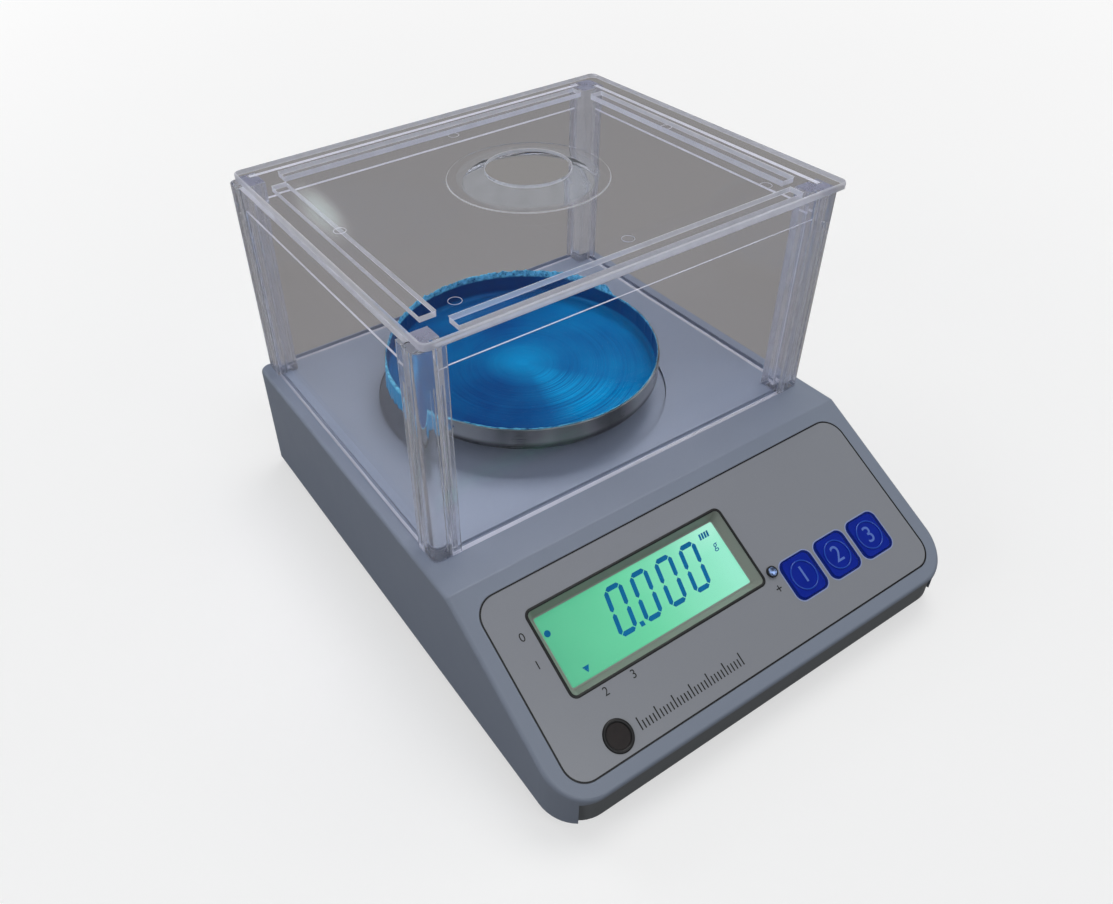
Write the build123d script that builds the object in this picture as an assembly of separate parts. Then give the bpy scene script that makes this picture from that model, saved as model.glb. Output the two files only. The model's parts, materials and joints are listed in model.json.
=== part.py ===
from build123d import *
from math import atan2, cos, pi, radians, sin
import os

# Jewellery scale: an electronic precision balance with a clear windshield.
# Millimetres. +X runs along the display's reading direction, +Y to the back, +Z up.
# The origin lies on the table, under the centre of the housing.

# Housing
body_width = 200.0
body_depth = 248.0
foot_gap = 6.0
deck_z = 60.0
front_radius = 16.0
back_radius = 5.0
wall = 2.5
deck_wall = 3.0
lip_z = 19.7
edge_round = 1.6
body_front = -body_depth / 2
body_back = body_depth / 2
ridge_y = -50.5

# Sloping control panel, laid out from the ridge down the slope
slope_angle = atan2(deck_z - lip_z, ridge_y - body_front)
panel_plane = Plane(
    origin=(0, ridge_y, deck_z),
    x_dir=(1, 0, 0),
    z_dir=(0, -sin(slope_angle), cos(slope_angle)),
)
film_width, film_height, film_round, film_thick = 186.0, 72.0, 9.0, 0.5
film_down = 42.2
display_x, display_down = -29.7, 34.8
display_width, display_height, display_depth = 94.0, 34.4, 4.2
glass_width, glass_height = 89.0, 29.5
bezel_width, bezel_height = 98.0, 41.0
key_xs = (34.0, 53.1, 72.1)
key_names = ("left_key", "middle_key", "right_key")
key_down = 56.8
key_width, key_height, key_round = 14.3, 16.0, 2.8
key_gap = 0.15
key_travel = 0.5
lamp_x, lamp_down, lamp_radius = 22.0, 49.6, 2.2
dial_x, dial_down, dial_radius = -69.0, 70.1, 5.2
board_depth = 11.6
board_thick = 1.6

# Weighing pan and what carries it
pan_x, pan_y = -4.5, 39.0
pan_radius, pan_height, pan_sheet = 60.0, 10.5, 0.8
pan_z = deck_z + 11.0
spigot_radius = 5.0
recess_radius, recess_depth = 64.5, 1.5
stem_radius, stem_hole = 7.0, 9.0
film_sheet, film_stand = 0.3, 1.0
flap_height, flap_start, flap_turn = 3.6, 8.0, 192.0
weigh_travel = 0.3

# Windshield
shield_width, shield_depth, shield_height = 190.0, 157.4, 94.0
shield_y = 43.9
post_size, post_round = 12.0, 3.0
post_sleeve = 15.0
peg_size, peg_depth, peg_gap = 8.0, 6.0, 0.15
panel_thick, panel_inset, panel_slot = 3.0, 1.3, 3.2
panel_grip = 4.0
flute_depth, flute_steps = 0.5, (-2.6, 0.6)
groove_depth, groove_width, groove_reach = 1.5, 5.0, 3.6
rebate_height, rebate_depth = 10.7, 1.0
lid_width, lid_depth, lid_thick, lid_round = 191.0, 159.4, 3.0, 3.0
lid_x, lid_y = 3.4, 44.4
rib_height, rib_thick = 2.5, 6.5
rib_x, rib_y = 86.0, 73.0
rib_long, rib_short = 156.0, 122.0
ring_radius, ring_step = 33.0, 0.4
collar_foot, collar_top, collar_height, hole_radius = 29.0, 19.2, 4.2, 17.4

# Feet
foot_x, foot_y = 80.0, 104.0
foot_radius, foot_pad = 8.0, 2.8
foot_names = ("front_left", "front_right", "back_left", "back_right")
stud_radius = 3.0

# Parts inside
floor_thick = 2.5
floor_top = foot_gap + floor_thick
fit_gap = 0.2
cell_length, cell_width, cell_height = 80.0, 15.0, 14.0
cell_z = 18.0
bay_x, bay_y, bay_width, bay_depth = -37.0, -36.0, 84.0, 46.0
door_thick = 2.0
tray_x, tray_z, tray_width, tray_height, tray_depth = 46.0, 30.0, 62.0, 24.0, 4.0
switch_x, socket_x = 30.0, 62.0
rocker_swing = 18.0


def box(x0, x1, y0, y1, z0, z1):
    size = Box(x1 - x0, y1 - y0, z1 - z0)
    return Pos((x0 + x1) / 2, (y0 + y1) / 2, (z0 + z1) / 2) * size


def rod(x, y, z0, z1, radius):
    return Pos(x, y, (z0 + z1) / 2) * Cylinder(radius, z1 - z0)


def plan_outline(inset):
    face = Rectangle(body_width - 2 * inset, body_depth - 2 * inset)
    face = fillet(face.vertices().group_by(Axis.Y)[0], front_radius - inset)
    return fillet(face.vertices().group_by(Axis.Y)[-1], max(back_radius - inset, 1.2))


def plan_block(inset, z0, z1):
    return extrude(Pos(0, 0, z0) * plan_outline(inset), amount=z1 - z0)


def above_slope(depth):
    return extrude(panel_plane.offset(-depth) * Rectangle(500, 500), amount=200)


def on_slope(x, down, shape, depth0, depth1):
    # A flat shape on the slope, extruded from one depth under the surface to another.
    return extrude(panel_plane.offset(-depth1) * Pos(x, -down) * shape, amount=depth1 - depth0)


def slope_rod(x, down, radius, depth0, depth1):
    return on_slope(x, down, Circle(radius), depth0, depth1)


def slope_block(x, down, width, height, round_, depth0, depth1):
    return on_slope(x, down, RectangleRounded(width, height, round_), depth0, depth1)


def display_cut():
    # The window's walls lean in towards the glass.
    top = panel_plane.offset(0.01) * Pos(display_x, -display_down)
    low = panel_plane.offset(-display_depth - 0.01) * Pos(display_x, -display_down)
    outer = top * RectangleRounded(display_width, display_height, 2.5)
    inner = low * RectangleRounded(glass_width, glass_height, 1.2)
    return loft([outer, inner])


def post_places():
    dx = shield_width / 2 - post_size / 2
    dy = shield_depth / 2 - post_size / 2
    return [(sx * dx, shield_y + sy * dy, sx, sy) for sy in (-1, 1) for sx in (-1, 1)]


def panel_centre():
    offset = panel_inset + panel_thick / 2
    return shield_width / 2 - offset, shield_depth / 2 - offset


def screw_places():
    return [(-88, -62), (88, -62), (-92, 30), (92, 30), (-40, 113), (0, -112)]


def foot_places():
    return [(sx * foot_x, sy * foot_y) for sy in (-1, 1) for sx in (-1, 1)]


def housing_skin():
    solid = plan_block(0, foot_gap, deck_z) - above_slope(0)
    deck = solid.faces().sort_by(Axis.Z)[-1]
    slope = solid.faces().filter_by(lambda f: f.normal_at().dot(panel_plane.z_dir) > 0.999)[0]
    rim = [e for e in deck.edges() + slope.edges() if abs(e.center().Y - ridge_y) > 0.5]
    ridge = [e for e in slope.edges() if abs(e.center().Y - ridge_y) < 0.5]
    return fillet(rim + ridge, edge_round)


def housing_core():
    core = plan_block(wall, foot_gap - 1, deck_z - deck_wall)
    return core - above_slope(wall)


def make_top_housing():
    skin = housing_skin()
    shell = skin - housing_core()
    shell += slope_block(display_x, display_down, bezel_width, bezel_height, 3, wall - 0.2, display_depth)
    for x, y, sx, sy in post_places():
        shell += box(x - 5.8, x + 5.8, y - 5.8, y + 5.8, deck_z - 8.5, deck_z - deck_wall + 0.2)
    for x, y in screw_places():
        shell += rod(x, y, floor_top + 3.2, deck_z, 4.2) & (skin - above_slope(1.0))
    back = body_back - wall
    shell += box(tray_x - 34, tray_x + 34, back - tray_depth, back + 0.2, tray_z - 15, tray_z + 15)
    shell -= box(
        tray_x - tray_width / 2,
        tray_x + tray_width / 2,
        body_back - tray_depth,
        body_back + 1,
        tray_z - tray_height / 2,
        tray_z + tray_height / 2,
    )
    shell -= rod(pan_x, pan_y, deck_z - recess_depth, deck_z + 1, recess_radius)
    shell += rod(pan_x, pan_y, deck_z - deck_wall, deck_z + 1.5, stem_hole + 3)
    shell -= rod(pan_x, pan_y, deck_z - 6, deck_z + 3, stem_hole)
    for x, y, sx, sy in post_places():
        half = peg_size / 2 + peg_gap
        shell -= box(x - half, x + half, y - half, y + half, deck_z - peg_depth - 0.5, deck_z + 1)
    px, py = panel_centre()
    half = groove_width / 2
    for side in (-1, 1):
        x = side * px
        y = shield_y + side * py
        y_end = shield_depth / 2 - post_size + groove_reach
        x_end = shield_width / 2 - post_size + groove_reach
        low = deck_z - groove_depth
        shell -= box(x - half, x + half, shield_y - y_end, shield_y + y_end, low, deck_z + 1)
        shell -= box(-x_end, x_end, y - half, y + half, low, deck_z + 1)
    shell -= slope_block(0, film_down, film_width + 0.2, film_height + 0.2, film_round, -1, film_thick)
    shell -= display_cut()
    for x in key_xs:
        shell -= slope_block(x, key_down, key_width + 0.4, key_height + 0.4, key_round, -1, 6)
    shell -= slope_rod(lamp_x, lamp_down, lamp_radius + 0.1, -1, 6)
    shell -= slope_rod(dial_x, dial_down, dial_radius + 0.1, -1, 2.2)
    shell -= box(-93, 93, body_front - 1, body_front + 9, foot_gap - 1, lip_z - 1.6)
    for x, y in screw_places():
        shell -= rod(x, y, floor_top, min(deck_z - 6, ceiling(y) - 4), 1.3)
    x, y = switch_x, body_back
    shell -= box(x - 9.6, x + 9.6, y - 12, y, tray_z - 6.6, tray_z + 6.6)
    shell -= Pos(socket_x, y - 5, tray_z) * Rot(90, 0, 0) * Cylinder(4.6, 14)
    return shell


def ceiling(y):
    # Height of the housing's outer surface over a place in the plan.
    if y > ridge_y:
        return deck_z
    return deck_z - (ridge_y - y) * (deck_z - lip_z) / (ridge_y - body_front)


def make_base_housing():
    inset = wall + fit_gap
    base = plan_block(inset, foot_gap, floor_top)
    base += plan_block(inset, floor_top, floor_top + 3) - plan_block(inset + 2, floor_top - 1, floor_top + 4)
    front_wall = plan_block(1.2, foot_gap, lip_z - 2.0) - plan_block(3.6, foot_gap - 1, lip_z)
    base += front_wall & box(-92.8, 92.8, body_front, body_front + 12, foot_gap, lip_z)
    for x, y in foot_places():
        base += rod(x, y, floor_top, floor_top + 9, 7)
        base -= rod(x, y, foot_gap - 1, floor_top + 12, stud_radius + 0.08)
    for x, y in screw_places():
        base += rod(x, y, floor_top, floor_top + 3, 5)
        base -= rod(x, y, foot_gap - 1, floor_top + 4, 1.7)
        base -= rod(x, y, foot_gap - 1, foot_gap + 2.2, 3.3)
    x0, x1 = bay_x - bay_width / 2, bay_x + bay_width / 2
    y0, y1 = bay_y - bay_depth / 2, bay_y + bay_depth / 2
    base += box(x0 - 2, x1 + 2, y0 - 2, y1 + 2, floor_top, floor_top + 20)
    base -= box(x0, x1, y0, y1, foot_gap - 1, floor_top + 18)
    base -= box(x0 - 1.5, x1 + 1.5, y0 - 1.5, y1 + 1.5, foot_gap - 1, foot_gap + door_thick + 0.1)
    x, y = pan_x - cell_length / 2 + 12, pan_y
    base += box(x - 12, x + 12, y - 11, y + 11, floor_top, cell_z - 3)
    for dx in (-6, 6):
        base -= rod(x + dx, y, foot_gap - 1, cell_z, 2.2)
    base += rod(pan_x + cell_length / 2 - 8, y, floor_top, cell_z - 4, 5)
    base -= rod(pan_x + cell_length / 2 - 8, y, foot_gap - 1, cell_z, 1.9)
    for x, y in board_posts():
        base += rod(x, y, floor_top, floor_top + 5, 3)
    for y in (-4, 12, 70, 86):
        base += box(-86, 86, y - 0.8, y + 0.8, floor_top, floor_top + 3)
    for x in (14, 58):
        base += box(x - 0.8, x + 0.8, -98, -62, floor_top, floor_top + 3)
    return base


def board_posts():
    return [(x, y) for x in (18, 78) for y in (-52, -12)]


def make_control_panel():
    film = slope_block(0, film_down, film_width, film_height, film_round, 0, film_thick)
    film -= slope_block(display_x, display_down, display_width, display_height, 2.5, -1, 2)
    for x in key_xs:
        film -= slope_block(x, key_down, key_width + 2 * key_gap, key_height + 2 * key_gap, key_round, -1, 2)
    film -= slope_rod(lamp_x, lamp_down, lamp_radius + 0.1, -1, 2)
    return film - slope_rod(dial_x, dial_down, dial_radius + 0.1, -1, 2)


def make_key(x):
    # Cap with a raised thumb ring, a flange that keeps it in and a plunger.
    cap = slope_block(x, key_down, key_width, key_height, key_round, -0.25, wall + 0.5)
    cap = chamfer(cap.faces().sort_by(Axis.Z)[-1].edges(), 0.2)
    ring = slope_rod(x, key_down, 6.2, -0.45, 0) - slope_rod(x, key_down, 5.5, -1, 0.5)
    flange = slope_block(x, key_down, key_width + 3, key_height + 3, key_round, wall + 0.15, wall + 1.0)
    plunger = slope_rod(x, key_down, 2.0, wall, wall + 3.2)
    return cap + ring + flange + plunger


def make_key_switches():
    # Tactile switches on the board, each a square case with a round button well.
    group = []
    top = wall + 3.2 + key_travel + 0.1
    for x in key_xs:
        case = slope_block(x, key_down, 6.0, 6.0, 0.4, top, board_depth)
        case = case - slope_rod(x, key_down, 2.2, wall, top + 0.6)
        group.append(case)
    return Compound(children=group)


def make_display_lens():
    return slope_block(display_x, display_down, glass_width + 4, glass_height + 4, 1, display_depth, display_depth + 0.9)


def make_display_glass():
    low = display_depth + 0.9
    return slope_block(display_x, display_down, glass_width + 3, glass_height + 3, 0.5, low, low + 1.8)


def make_display_backlight():
    low = display_depth + 2.7
    return slope_block(display_x, display_down, glass_width + 2, glass_height + 2, 0.5, low, board_depth)


def make_display_holder():
    ring = slope_block(
        display_x, display_down, bezel_width - 2, bezel_height - 2, 2, display_depth, board_depth
    )
    return ring - slope_block(
        display_x, display_down, glass_width + 4.4, glass_height + 4.4, 1, 0, board_depth + 1
    )


def make_display_board():
    board = slope_block(0, 35.5, 160, 50, 2, board_depth, board_depth + board_thick)
    for x in (-76, 76):
        for down in (14, 57):
            board -= slope_rod(x, down, 1.6, board_depth - 1, board_depth + 3)
    return board


def make_indicator_lamp():
    lamp = slope_rod(lamp_x, lamp_down, lamp_radius, 0, board_depth)
    dome = panel_plane * Pos(lamp_x, -lamp_down) * Sphere(lamp_radius)
    return lamp + (dome & slope_rod(lamp_x, lamp_down, lamp_radius, -0.9, 1))


def make_round_window():
    return slope_rod(dial_x, dial_down, dial_radius, 0.05, 2.2)


def make_pan():
    # Pressed steel dish: flat floor, tight bend, upright rim and a locating ring below.
    r, t = pan_radius, pan_sheet
    points = [(0, 0), (r, 0), (r, pan_height), (r - t, pan_height), (r - t, t), (0, t)]
    face = Plane.XZ * make_face(Polyline(*points, close=True))
    bend = face.vertices().filter_by(lambda v: v.X > r - 1 and v.Z < 0.1)
    face = fillet(bend, 2.0)
    inner = face.vertices().filter_by(lambda v: abs(v.X - r + t) < 0.05 and abs(v.Z - t) < 0.05)
    face = fillet(inner, 1.2)
    dish = revolve(face, Axis.Z)
    ring = Pos(0, 0, -0.7) * (Cylinder(spigot_radius + 2, 1.8) - Cylinder(spigot_radius + 0.4, 3))
    return Pos(pan_x, pan_y, pan_z) * (dish + ring)


def make_pan_film():
    # Thin protective film that lines the dish; its torn edge stands highest round the back.
    r = pan_radius - pan_sheet - 0.05
    t = film_sheet
    low = pan_sheet
    top = pan_height + film_stand
    points = [(0, low), (r - 1.3, low), (r, low + 1.3), (r, top), (r - t, top)]
    points += [(r - t, low + 1.3 + t / 2), (r - 1.3 - t / 2, low + t), (0, low + t)]
    liner = revolve(Plane.XZ * make_face(Polyline(*points, close=True)), Axis.Z)
    edge = [(r - t, top), (r, top), (r, top + flap_height), (r - t, top + flap_height)]
    edge = Plane.XZ * make_face(Polyline(*edge, close=True))
    flap = revolve(edge, Axis.Z, revolution_arc=flap_turn)
    return Pos(pan_x, pan_y, pan_z) * (liner + Rot(0, 0, flap_start) * flap)


def make_pan_support():
    # Turned hub and stem with four tapering arms whose ends carry the rubber pads.
    top = pan_z - 2.0
    spider = rod(pan_x, pan_y, cell_z + cell_height + 7.0, top, stem_radius)
    spider += rod(pan_x, pan_y, deck_z + 3.2, top, 12)
    spider += rod(pan_x, pan_y, top, pan_z - 0.2, spigot_radius)
    for turn in range(4):
        arm = Polyline((0, -6), (44, -4), (44, 4), (0, 6), close=True)
        arm = extrude(make_face(arm), amount=3.0)
        end = Pos(44, 0, 1.5) * Cylinder(6, 3.0)
        web = Pos(22, 0, -1.2) * Box(40, 2, 2.4)
        spider += Pos(pan_x, pan_y, top - 3.0) * Rot(0, 0, 45 + 90 * turn) * (arm + end + web)
    return spider


def make_pan_pads():
    pads = []
    for turn in range(4):
        angle = radians(45 + 90 * turn)
        x, y = pan_x + 44 * cos(angle), pan_y + 44 * sin(angle)
        pads.append(rod(x, y, pan_z - 2.0, pan_z, 4.0))
    return Compound(children=pads)


def make_load_bracket():
    # Plate that brings the load from the stem back to the free end of the load cell.
    low = cell_z + cell_height
    end = pan_x + cell_length / 2
    plate = box(pan_x - 12, end, pan_y - 10, pan_y + 10, low + 4.0, low + 7.0)
    foot = box(end - 22, end, pan_y - 7.5, pan_y + 7.5, low + weigh_travel + 0.1, low + 4.0)
    return plate + foot


def make_load_cell():
    # Aluminium bending beam: two drilled ends and a window of joined bores between them.
    beam = box(
        pan_x - cell_length / 2,
        pan_x + cell_length / 2,
        pan_y - cell_width / 2,
        pan_y + cell_width / 2,
        cell_z,
        cell_z + cell_height,
    )
    mid = cell_z + cell_height / 2
    for dx in (-9, 9):
        beam -= Pos(pan_x + dx, pan_y, mid) * Rot(90, 0, 0) * Cylinder(5.2, cell_width + 2)
    beam -= box(pan_x - 9, pan_x + 9, pan_y - 9, pan_y + 9, mid - 1.6, mid + 1.6)
    for dx in (-34, -22):
        beam -= rod(pan_x + dx, pan_y, cell_z - 1, cell_z + cell_height + 1, 2.05)
    return beam


def make_cell_spacer():
    x = pan_x - cell_length / 2 + 12
    spacer = box(x - 11, x + 11, pan_y - 7.5, pan_y + 7.5, cell_z - 3, cell_z)
    for dx in (-6, 6):
        spacer -= rod(x + dx, pan_y, cell_z - 4, cell_z + 1, 2.2)
    return spacer


def make_cell_screws():
    group = []
    for dx in (-34, -22):
        shank = rod(pan_x + dx, pan_y, foot_gap + 1.5, cell_z + cell_height - 2, 2.0)
        head = rod(pan_x + dx, pan_y, foot_gap + 0.5, foot_gap + 2.0, 2.15)
        group.append(shank + head)
    return Compound(children=group)


def make_overload_stop():
    x = pan_x + cell_length / 2 - 8
    stop = rod(x, pan_y, foot_gap + 0.5, cell_z - 0.4, 1.9)
    return stop


def make_main_board():
    z = floor_top + 5
    board = box(12, 84, -58, -6, z, z + board_thick)
    for x, y in board_posts():
        board -= rod(x, y, z - 1, z + 3, 1.5)
    return board


def make_board_parts():
    # Converter under its can, processor, transformer, capacitors and connectors.
    z = floor_top + 5 + board_thick
    places = [
        (26, -40, 14, 12, 3.2),
        (46, -30, 12, 12, 1.4),
        (68, -44, 12, 14, 9.0),
        (70, -22, 16, 6, 7.0),
        (46, -48, 16, 5, 6.0),
        (26, -18, 10, 6, 5.0),
    ]
    group = [box(x - w / 2, x + w / 2, y - d / 2, y + d / 2, z, z + h) for x, y, w, d, h in places]
    for x in (54, 61):
        group.append(rod(x, -14, z, z + 9, 3))
    return Compound(children=group)


def make_battery_pack():
    # Two round cells side by side under one shrink sleeve.
    z = foot_gap + door_thick + 0.6 + 8.0
    cell = Pos(bay_x, bay_y, z) * Rot(0, 90, 0) * Cylinder(8.0, 70)
    pack = Pos(0, -8.6, 0) * cell + Pos(0, 8.6, 0) * cell
    return pack + box(bay_x - 34, bay_x + 34, bay_y - 9, bay_y + 9, z - 6, z + 6)


def make_battery_door():
    x0, x1 = bay_x - bay_width / 2, bay_x + bay_width / 2
    y0, y1 = bay_y - bay_depth / 2, bay_y + bay_depth / 2
    door = box(x0 - 1.2, x1 + 1.2, y0 - 1.2, y1 + 1.2, foot_gap, foot_gap + door_thick)
    for k in range(5):
        x = bay_x - 8 + 4 * k
        door -= box(x - 0.8, x + 0.8, y0 + 2, y0 + 12, foot_gap - 1, foot_gap + 0.7)
    return door


def make_foot_pad(x, y):
    pad = rod(x, y, 0, foot_pad, foot_radius)
    pad = chamfer(pad.faces().sort_by(Axis.Z)[0].edges(), 0.6)
    return pad + rod(x, y, foot_pad, foot_pad + 1.2, 2.0)


def make_foot_screw(x, y):
    # Knurled wheel and stud; the pad's pin sits in a blind hole under the wheel.
    low = foot_pad + 0.08
    high = foot_gap - 0.3
    wheel = rod(x, y, low, high, foot_radius + 1.0)
    for k in range(18):
        angle = 2 * pi * k / 18
        reach = foot_radius + 1.3
        wheel -= rod(x + reach * cos(angle), y + reach * sin(angle), low - 1, high + 1, 0.8)
    wheel += rod(x, y, high, floor_top + 8, stud_radius)
    return wheel - rod(x, y, low - 1, foot_pad + 1.4, 2.08)


def make_housing_screws():
    group = []
    for x, y in screw_places():
        head = rod(x, y, foot_gap + 0.4, foot_gap + 2.2, 2.8)
        shank = rod(x, y, foot_gap + 2.2, min(36.0, ceiling(y) - 6), 1.25)
        group.append(head + shank)
    return Compound(children=group)


def rocker_pivot():
    return switch_x, body_back - tray_depth - 0.5, tray_z


def make_switch_case():
    # Snap-in body with a rim that lies on the floor of the rear recess.
    y = body_back - tray_depth
    case = box(switch_x - 9.4, switch_x + 9.4, y - 12, y, tray_z - 6.4, tray_z + 6.4)
    case += box(switch_x - 10.5, switch_x + 10.5, y, y + 1.2, tray_z - 7.5, tray_z + 7.5)
    case -= box(switch_x - 7.2, switch_x + 7.2, y - 7, y + 2, tray_z - 5.2, tray_z + 5.2)
    return case - Pos(*rocker_pivot()) * Rot(0, 90, 0) * Cylinder(1.05, 16.4)


def make_power_rocker():
    # Rocker with two faces that meet in a shallow V over its pivot pin, resting on its lower side.
    points = [(-3.2, -2.0), (-0.6, -4.4), (1.8, -4.4), (1.0, 0.0), (1.8, 4.4), (-0.6, 4.4), (-3.2, 2.0)]
    face = make_face(Polyline(*[(-6.9, out, up) for out, up in points], close=True))
    rocker = extrude(face, amount=13.8, dir=(1, 0, 0))
    rocker += Rot(0, 90, 0) * Cylinder(1.0, 16.0)
    return Pos(*rocker_pivot()) * Rot(-rocker_swing / 2, 0, 0) * rocker


def make_dc_socket():
    # Barrel socket: square body inside, round mouth and a centre pin.
    y = body_back - tray_depth
    body = box(socket_x - 5.5, socket_x + 5.5, y - 16.5, y - 2.6, tray_z - 5.5, tray_z + 5.5)
    body += Pos(socket_x, y - 1.6, tray_z) * Rot(90, 0, 0) * Cylinder(4.4, 3.2)
    body -= Pos(socket_x, y - 5, tray_z) * Rot(90, 0, 0) * Cylinder(2.8, 11)
    return body + Pos(socket_x, y - 5.6, tray_z) * Rot(90, 0, 0) * Cylinder(1.05, 10)


def make_post(x, y, sx, sy):
    # Corner post: rounded outer corner, two panel slots, flutes up to a plain sleeve, and a peg.
    top = deck_z + shield_height
    column = Box(post_size, post_size, shield_height)
    corner = column.edges().filter_by(Axis.Z).sort_by_distance(Vector(sx * 10, sy * 10, 0))[0]
    column = fillet(corner, post_round)
    post = Pos(x, y, deck_z + shield_height / 2) * column
    half = peg_size / 2
    post += box(x - half, x + half, y - half, y + half, deck_z - peg_depth, deck_z + 0.5)
    px, py = panel_centre()
    half = panel_slot / 2
    reach = post_size / 2 - panel_grip
    slot_x, slot_y = sx * px, shield_y + sy * py
    ys = sorted((y - sy * reach, y - sy * 7))
    xs = sorted((x - sx * reach, x - sx * 7))
    low = deck_z - peg_depth - 1
    post -= box(slot_x - half, slot_x + half, ys[0], ys[1], low, top + 1)
    post -= box(xs[0], xs[1], slot_y - half, slot_y + half, low, top + 1)
    low, high = deck_z + 4, top - post_sleeve
    for step in flute_steps:
        fx, fy = x + sx * post_size / 2, y + sy * step
        post -= box(fx - flute_depth, fx + flute_depth, fy - 0.7, fy + 0.7, low, high)
        fx, fy = x + sx * step, y + sy * post_size / 2
        post -= box(fx - 0.7, fx + 0.7, fy - flute_depth, fy + flute_depth, low, high)
    return post


def make_panel(along_x, side):
    # Flat pane with a thinner top band on the inside.
    px, py = panel_centre()
    low = deck_z - groove_depth + 0.1
    high = deck_z + shield_height - 0.1
    step = high - rebate_height
    half = panel_thick / 2
    thin = half - rebate_depth
    points = [(half, low), (half, high), (-thin, high), (-thin, step), (-half, step), (-half, low)]
    if along_x:
        length = shield_width - 2 * post_size + 6.8
        face = make_face(Polyline(*[(0, shield_y + side * (py + u), v) for u, v in points], close=True))
        return Pos(-length / 2, 0, 0) * extrude(face, amount=length, dir=(1, 0, 0))
    length = shield_depth - 2 * post_size + 6.8
    face = make_face(Polyline(*[(side * (px + u), 0, v) for u, v in points], close=True))
    return Pos(0, shield_y - length / 2, 0) * extrude(face, amount=length, dir=(0, 1, 0))


def make_lid():
    # Moulded lid: plate, four flat locating ribs, stepped ring and a conical collar round the hole.
    plate = extrude(RectangleRounded(lid_width, lid_depth, lid_round), amount=lid_thick)
    plate = chamfer(plate.faces().sort_by(Axis.Z)[-1].edges(), 0.5)
    for side in (-1, 1):
        y = side * (rib_y - rib_thick / 2)
        x = side * (rib_x - rib_thick / 2)
        plate += Pos(0, y, -rib_height / 2) * Box(rib_long, rib_thick, rib_height)
        plate += Pos(x, 0, -rib_height / 2) * Box(rib_thick, rib_short, rib_height)
    t = lid_thick
    peak = t + collar_height
    points = [(hole_radius, 0), (ring_radius, 0), (ring_radius, t + ring_step)]
    points += [(collar_foot, t + ring_step), (collar_top, peak), (hole_radius, peak)]
    ring = revolve(Plane.XZ * make_face(Polyline(*points, close=True)), Axis.Z)
    hollow = [(0, -1), (collar_foot - 2.5, -1), (collar_foot - 2.5, t - 2.4), (hole_radius, peak - 1.4)]
    hollow += [(hole_radius, peak + 1), (0, peak + 1)]
    cone = revolve(Plane.XZ * make_face(Polyline(*hollow, close=True)), Axis.Z)
    return Pos(lid_x, lid_y, deck_z + shield_height) * (plate + ring - cone)


def write(name, shape):
    export_step(shape, "parts/" + name + ".step")


os.makedirs("parts", exist_ok=True)
write("top_housing", make_top_housing())
write("base_housing", make_base_housing())
write("control_panel", make_control_panel())
for key_name, key_x in zip(key_names, key_xs):
    write(key_name, make_key(key_x))
write("key_switches", make_key_switches())
write("display_lens", make_display_lens())
write("display_glass", make_display_glass())
write("display_backlight", make_display_backlight())
write("display_holder", make_display_holder())
write("display_board", make_display_board())
write("indicator_lamp", make_indicator_lamp())
write("round_window", make_round_window())
write("weighing_pan", make_pan())
write("pan_film", make_pan_film())
write("pan_support", make_pan_support())
write("pan_pads", make_pan_pads())
write("load_bracket", make_load_bracket())
write("load_cell", make_load_cell())
write("cell_spacer", make_cell_spacer())
write("cell_screws", make_cell_screws())
write("overload_stop", make_overload_stop())
write("main_board", make_main_board())
write("board_parts", make_board_parts())
write("battery_pack", make_battery_pack())
write("battery_door", make_battery_door())
write("housing_screws", make_housing_screws())
write("switch_case", make_switch_case())
write("power_rocker", make_power_rocker())
write("dc_socket", make_dc_socket())
write("windshield_lid", make_lid())
for foot_name, (foot_px, foot_py) in zip(foot_names, foot_places()):
    write("foot_pad_" + foot_name, make_foot_pad(foot_px, foot_py))
    write("foot_screw_" + foot_name, make_foot_screw(foot_px, foot_py))
for post_name, place in zip(foot_names, post_places()):
    write("post_" + post_name, make_post(*place))
for panel_name, along, side in (
    ("front_panel", True, -1),
    ("back_panel", True, 1),
    ("left_panel", False, -1),
    ("right_panel", False, 1),
):
    write(panel_name, make_panel(along, side))
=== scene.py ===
import json
from math import atan2, cos, pi, radians, sin

import bmesh
import bpy
from mathutils import Matrix, Vector, noise


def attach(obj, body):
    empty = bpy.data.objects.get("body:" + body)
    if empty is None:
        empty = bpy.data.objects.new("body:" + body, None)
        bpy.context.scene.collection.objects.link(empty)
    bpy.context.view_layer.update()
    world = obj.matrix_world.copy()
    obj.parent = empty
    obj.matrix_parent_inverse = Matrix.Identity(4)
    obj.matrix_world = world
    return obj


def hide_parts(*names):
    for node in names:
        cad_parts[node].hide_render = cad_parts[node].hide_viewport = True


# Looks of a jewellery scale: moulded housing, control panel film with a lit display,
# steel pan lined with blue protective film, and a clear windshield with a lift-off lid.
# Sizes and places in the named values are millimetres; meshes are made in metres.

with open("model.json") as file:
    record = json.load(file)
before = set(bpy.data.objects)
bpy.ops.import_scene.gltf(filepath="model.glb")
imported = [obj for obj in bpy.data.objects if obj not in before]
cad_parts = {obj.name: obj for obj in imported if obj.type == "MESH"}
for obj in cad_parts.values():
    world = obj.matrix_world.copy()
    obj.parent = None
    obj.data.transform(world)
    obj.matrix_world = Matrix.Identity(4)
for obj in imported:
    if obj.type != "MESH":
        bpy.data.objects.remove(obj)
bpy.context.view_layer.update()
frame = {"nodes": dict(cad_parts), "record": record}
nodes = frame["nodes"]
MM = 0.001

# Housing and its sloping panel, laid out from the ridge down the slope; prints start at a foot
# that is sunk a little into the panel
ridge_y, deck_z = -50.5, 60.0
front_y, lip_z = -124.0, 19.7
slope_angle = atan2(deck_z - lip_z, ridge_y - front_y)
film_width, film_height, film_round, film_down = 186.0, 72.0, 9.0, 42.2
border_line, print_foot = 0.6, -0.05

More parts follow.
